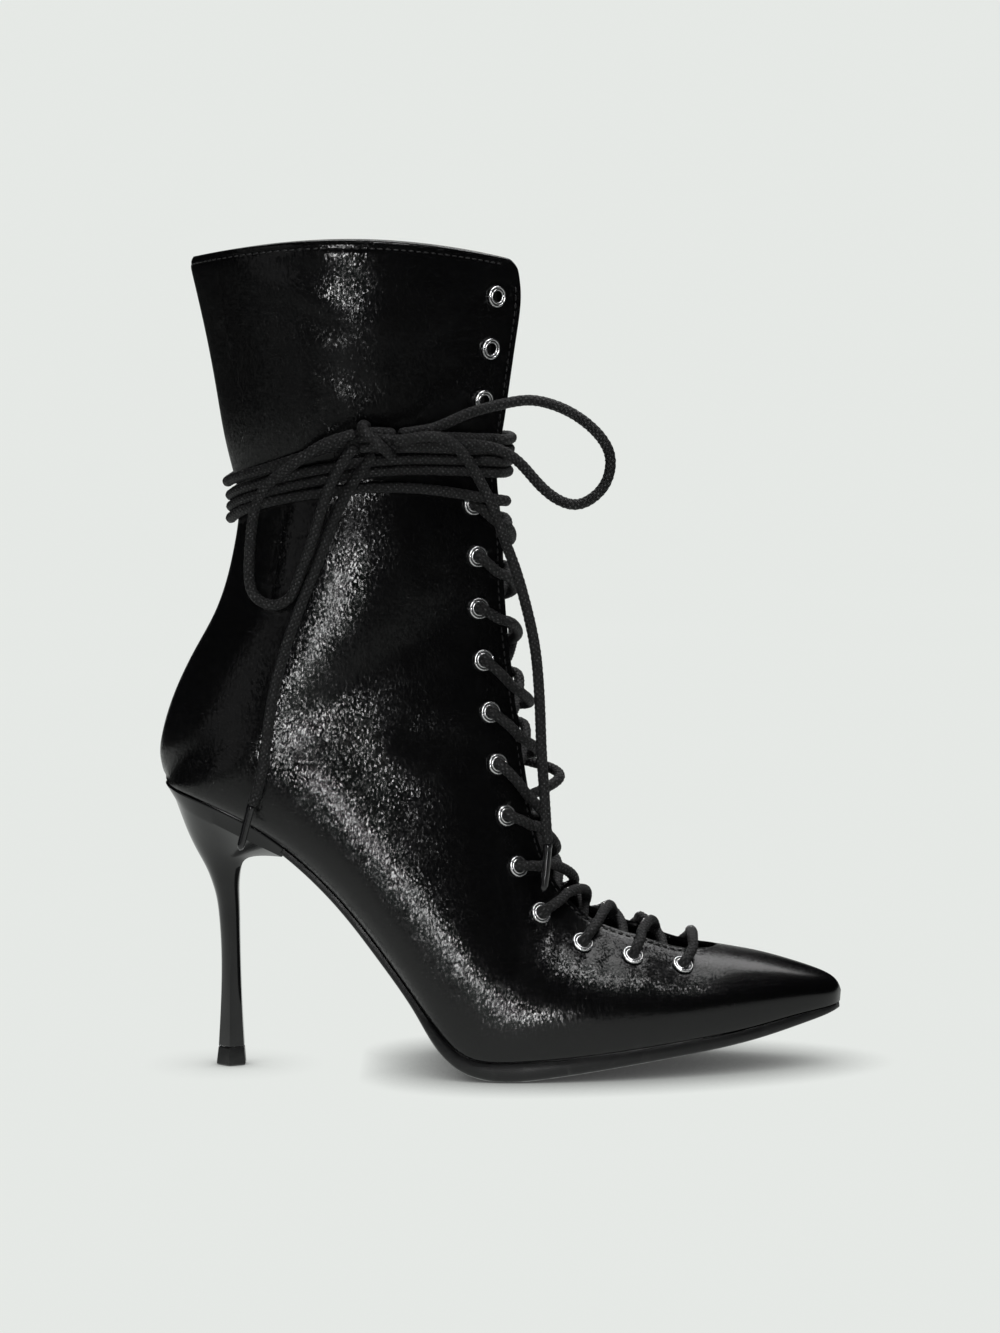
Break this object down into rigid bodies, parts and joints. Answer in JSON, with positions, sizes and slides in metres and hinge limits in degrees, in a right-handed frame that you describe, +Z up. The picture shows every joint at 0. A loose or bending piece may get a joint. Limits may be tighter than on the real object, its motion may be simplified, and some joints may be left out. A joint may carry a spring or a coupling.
{
  "type": "lace-up mid-calf boot",
  "caption": "Pointed lace-up boot with a stiletto heel, a hollow leather upper open at collar and throat, metal eyelets and a lace wound round the ankle and tied in a bow.",
  "frame": {"origin": "on the floor, in the middle of the boot's footprint without the bow", "axes": "+X from the heel to the toe, +Y from the lateral (outer) side to the medial side, +Z up"},
  "size_m": [0.2354, 0.0835, 0.284],
  "materials": {
    "leather": "glossy crinkled",
    "sole": "satin",
    "lining": "matte",
    "heel_lacquer": "gloss lacquer",
    "eyelet_metal": "polished",
    "lace": "waxed round braid",
    "aglet": "gloss"
  },
  "bodies": {
    "root": {"upper": "leather", "outsole": "sole", "insole": "lining", "heel": "heel_lacquer", "heel_lift": "sole", "eyelet_lateral_01": "eyelet_metal", "eyelet_lateral_02": "eyelet_metal", "eyelet_lateral_03": "eyelet_metal", "eyelet_lateral_04": "eyelet_metal", "eyelet_lateral_05": "eyelet_metal", "eyelet_lateral_06": "eyelet_metal", "eyelet_lateral_07": "eyelet_metal", "eyelet_lateral_08": "eyelet_metal", "eyelet_lateral_09": "eyelet_metal", "eyelet_lateral_10": "eyelet_metal", "eyelet_lateral_11": "eyelet_metal", "eyelet_lateral_12": "eyelet_metal", "eyelet_lateral_13": "eyelet_metal", "eyelet_lateral_14": "eyelet_metal", "eyelet_lateral_15": "eyelet_metal", "eyelet_lateral_16": "eyelet_metal", "eyelet_medial_01": "eyelet_metal", "eyelet_medial_02": "eyelet_metal", "eyelet_medial_03": "eyelet_metal", "eyelet_medial_04": "eyelet_metal", "eyelet_medial_05": "eyelet_metal", "eyelet_medial_06": "eyelet_metal", "eyelet_medial_07": "eyelet_metal", "eyelet_medial_08": "eyelet_metal", "eyelet_medial_09": "eyelet_metal", "eyelet_medial_10": "eyelet_metal", "eyelet_medial_11": "eyelet_metal", "eyelet_medial_12": "eyelet_metal", "eyelet_medial_13": "eyelet_metal", "eyelet_medial_14": "eyelet_metal", "eyelet_medial_15": "eyelet_metal", "eyelet_medial_16": "eyelet_metal", "lace_crossings": "lace", "lace_wraps": "lace", "lace_knot": "lace", "lace_loop_front": "lace", "lace_loop_rear": "lace", "lace_end_front": "lace", "lace_end_rear": "lace", "aglet_front": "aglet", "aglet_rear": "aglet"}
  },
  "joints": []
}
